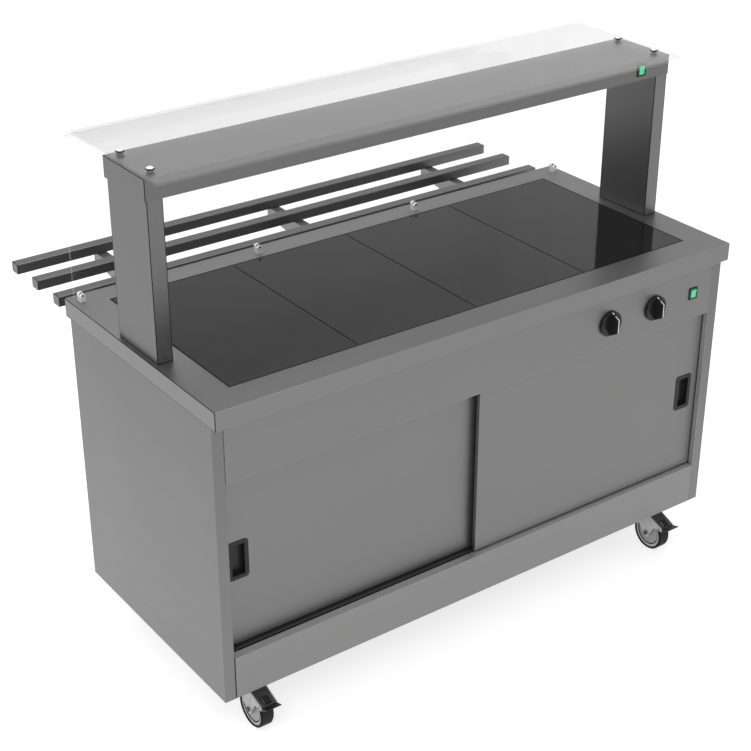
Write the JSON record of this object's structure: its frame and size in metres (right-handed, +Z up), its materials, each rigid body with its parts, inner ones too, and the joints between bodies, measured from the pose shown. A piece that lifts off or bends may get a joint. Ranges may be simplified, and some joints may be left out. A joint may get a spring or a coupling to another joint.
{
  "type": "mobile heated servery counter",
  "caption": "Mobile stainless hot cupboard with sliding doors, dark ceramic hot top, lamp gantry, curved clear guard, tubular tray slide and braked castors.",
  "frame": {"origin": "on the floor under the middle of the whole part's box", "axes": "+X along the counter to the operator's right, +Y to the customer's side with the tray slide, +Z up"},
  "size_m": [1.5, 1.0054, 1.34],
  "materials": {
    "stainless": "brushed stainless sheet, fine grain along the counter",
    "door_steel": "brushed stainless, satin",
    "hidden_steel": "plain rolled steel",
    "hot_tile": "dark glossy glass-ceramic",
    "sealant": "black silicone",
    "heater": "matt grey",
    "black_plastic": "black moulded plastic, fine texture",
    "lens": "lit green translucent lens",
    "guard": "clear toughened glass",
    "chrome": "polished chrome",
    "lamp": "quartz tube with ceramic ends",
    "zinc": "bright zinc plate",
    "hub": "grey moulded nylon",
    "tyre": "black rubber"
  },
  "bodies": {
    "counter": {"worktop": "stainless", "left_side_panel": "stainless", "right_side_panel": "stainless", "back_panel": "stainless", "base_panel": "stainless", "shelf": "stainless", "fascia_panel": "stainless", "plinth_panel": "stainless", "left_post": "stainless", "right_post": "stainless", "gantry_canopy": "stainless", "gantry_floor": "stainless", "tray_rail_1": "stainless", "tray_rail_2": "stainless", "tray_rail_3": "stainless", "tray_brackets": "stainless", "top_track": "hidden_steel", "bottom_track": "hidden_steel", "hot_tile_1": "hot_tile", "hot_tile_2": "hot_tile", "hot_tile_3": "hot_tile", "hot_tile_4": "hot_tile", "tile_seal": "sealant", "heating_elements": "heater", "main_switch": "black_plastic", "gantry_switch": "black_plastic", "cable_gland": "black_plastic", "heat_controls": "black_plastic", "glass_guard": "guard", "glass_fixings": "chrome", "glass_clamps": "chrome", "heat_lamps": "lamp", "assembly_screws": "zinc", "castor_plates": "zinc"},
    "left_door": {"left_door": "door_steel", "left_handle": "black_plastic"},
    "right_door": {"right_door": "door_steel", "right_handle": "black_plastic"},
    "left_door_roller_1": {"left_door_roller_1": "black_plastic"},
    "left_door_roller_2": {"left_door_roller_2": "black_plastic"},
    "right_door_roller_1": {"right_door_roller_1": "black_plastic"},
    "right_door_roller_2": {"right_door_roller_2": "black_plastic"},
    "left_knob": {"left_knob": "black_plastic"},
    "right_knob": {"right_knob": "black_plastic"},
    "main_rocker": {"main_rocker": "lens"},
    "gantry_rocker": {"gantry_rocker": "lens"},
    "castor_fork_1": {"castor_fork_1": "zinc"},
    "castor_wheel_1": {"castor_hub_1": "hub", "castor_tyre_1": "tyre"},
    "castor_fork_2": {"castor_fork_2": "zinc"},
    "castor_wheel_2": {"castor_hub_2": "hub", "castor_tyre_2": "tyre"},
    "castor_fork_3": {"castor_fork_3": "zinc"},
    "castor_wheel_3": {"castor_hub_3": "hub", "castor_tyre_3": "tyre"},
    "castor_fork_4": {"castor_fork_4": "zinc"},
    "castor_wheel_4": {"castor_hub_4": "hub", "castor_tyre_4": "tyre"},
    "brake_pedal_1": {"brake_pedal_1": "black_plastic"},
    "brake_pedal_2": {"brake_pedal_2": "black_plastic"}
  },
  "joints": [
    {"name": "left_door_slide", "type": "slide", "parent": "counter", "child": "left_door", "axis": [1, 0, 0], "range_m": [0, 0.7166]},
    {"name": "right_door_slide", "type": "slide", "parent": "counter", "child": "right_door", "axis": [1, 0, 0], "range_m": [-0.7166, 0]},
    {"name": "left_door_roller_1_spin", "type": "hinge", "parent": "left_door", "child": "left_door_roller_1", "pos_m": [-0.6583, -0.43305, 0.7313], "axis": [0, 1, 0], "range_deg": [0, 3740]},
    {"name": "left_door_roller_2_spin", "type": "hinge", "parent": "left_door", "child": "left_door_roller_2", "pos_m": [-0.0583, -0.43305, 0.7313], "axis": [0, 1, 0], "range_deg": [0, 3740]},
    {"name": "right_door_roller_1_spin", "type": "hinge", "parent": "right_door", "child": "right_door_roller_1", "pos_m": [0.0583, -0.45505, 0.7313], "axis": [0, 1, 0], "range_deg": [-3740, 0]},
    {"name": "right_door_roller_2_spin", "type": "hinge", "parent": "right_door", "child": "right_door_roller_2", "pos_m": [0.6583, -0.45505, 0.7313], "axis": [0, 1, 0], "range_deg": [-3740, 0]},
    {"name": "left_knob_turn", "type": "hinge", "parent": "counter", "child": "left_knob", "pos_m": [0.3725, -0.47165, 0.7752], "axis": [0, 1, 0], "range_deg": [0, 270]},
    {"name": "right_knob_turn", "type": "hinge", "parent": "counter", "child": "right_knob", "pos_m": [0.523, -0.47165, 0.7752], "axis": [0, 1, 0], "range_deg": [0, 270]},
    {"name": "main_rocker_tilt", "type": "hinge", "parent": "counter", "child": "main_rocker", "pos_m": [0.656, -0.47115, 0.7792], "axis": [1, 0, 0], "range_deg": [-14, 0]},
    {"name": "gantry_rocker_tilt", "type": "hinge", "parent": "counter", "child": "gantry_rocker", "pos_m": [0.649, -0.23685, 1.30114], "axis": [1, 0, 0], "range_deg": [-14, 0]},
    {"name": "castor_swivel_1", "type": "hinge", "parent": "counter", "child": "castor_fork_1", "pos_m": [-0.639, -0.38835, 0.13], "axis": [0, 0, 1], "continuous": true},
    {"name": "castor_roll_1", "type": "hinge", "parent": "castor_fork_1", "child": "castor_wheel_1", "pos_m": [-0.639, -0.42335, 0.05], "axis": [1, 0, 0], "continuous": true},
    {"name": "castor_swivel_2", "type": "hinge", "parent": "counter", "child": "castor_fork_2", "pos_m": [0.639, -0.38835, 0.13], "axis": [0, 0, 1], "continuous": true},
    {"name": "castor_roll_2", "type": "hinge", "parent": "castor_fork_2", "child": "castor_wheel_2", "pos_m": [0.639, -0.42335, 0.05], "axis": [1, 0, 0], "continuous": true},
    {"name": "castor_swivel_3", "type": "hinge", "parent": "counter", "child": "castor_fork_3", "pos_m": [-0.639, 0.08365, 0.13], "axis": [0, 0, 1], "continuous": true},
    {"name": "castor_roll_3", "type": "hinge", "parent": "castor_fork_3", "child": "castor_wheel_3", "pos_m": [-0.639, 0.11865, 0.05], "axis": [1, 0, 0], "continuous": true},
    {"name": "castor_swivel_4", "type": "hinge", "parent": "counter", "child": "castor_fork_4", "pos_m": [0.639, 0.08365, 0.13], "axis": [0, 0, 1], "continuous": true},
    {"name": "castor_roll_4", "type": "hinge", "parent": "castor_fork_4", "child": "castor_wheel_4", "pos_m": [0.639, 0.11865, 0.05], "axis": [1, 0, 0], "continuous": true},
    {"name": "brake_pedal_1_press", "type": "hinge", "parent": "castor_fork_1", "child": "brake_pedal_1", "pos_m": [-0.639, -0.47035, 0.084], "axis": [1, 0, 0], "range_deg": [0, 12]},
    {"name": "brake_pedal_2_press", "type": "hinge", "parent": "castor_fork_2", "child": "brake_pedal_2", "pos_m": [0.639, -0.47035, 0.084], "axis": [1, 0, 0], "range_deg": [0, 12]}
  ],
  "couplings": [
    {"joint": "left_door_roller_1_spin", "follows": "left_door_slide", "rad_per_m": 90.909},
    {"joint": "left_door_roller_2_spin", "follows": "left_door_slide", "rad_per_m": 90.909},
    {"joint": "right_door_roller_1_spin", "follows": "right_door_slide", "rad_per_m": 90.909},
    {"joint": "right_door_roller_2_spin", "follows": "right_door_slide", "rad_per_m": 90.909}
  ]
}
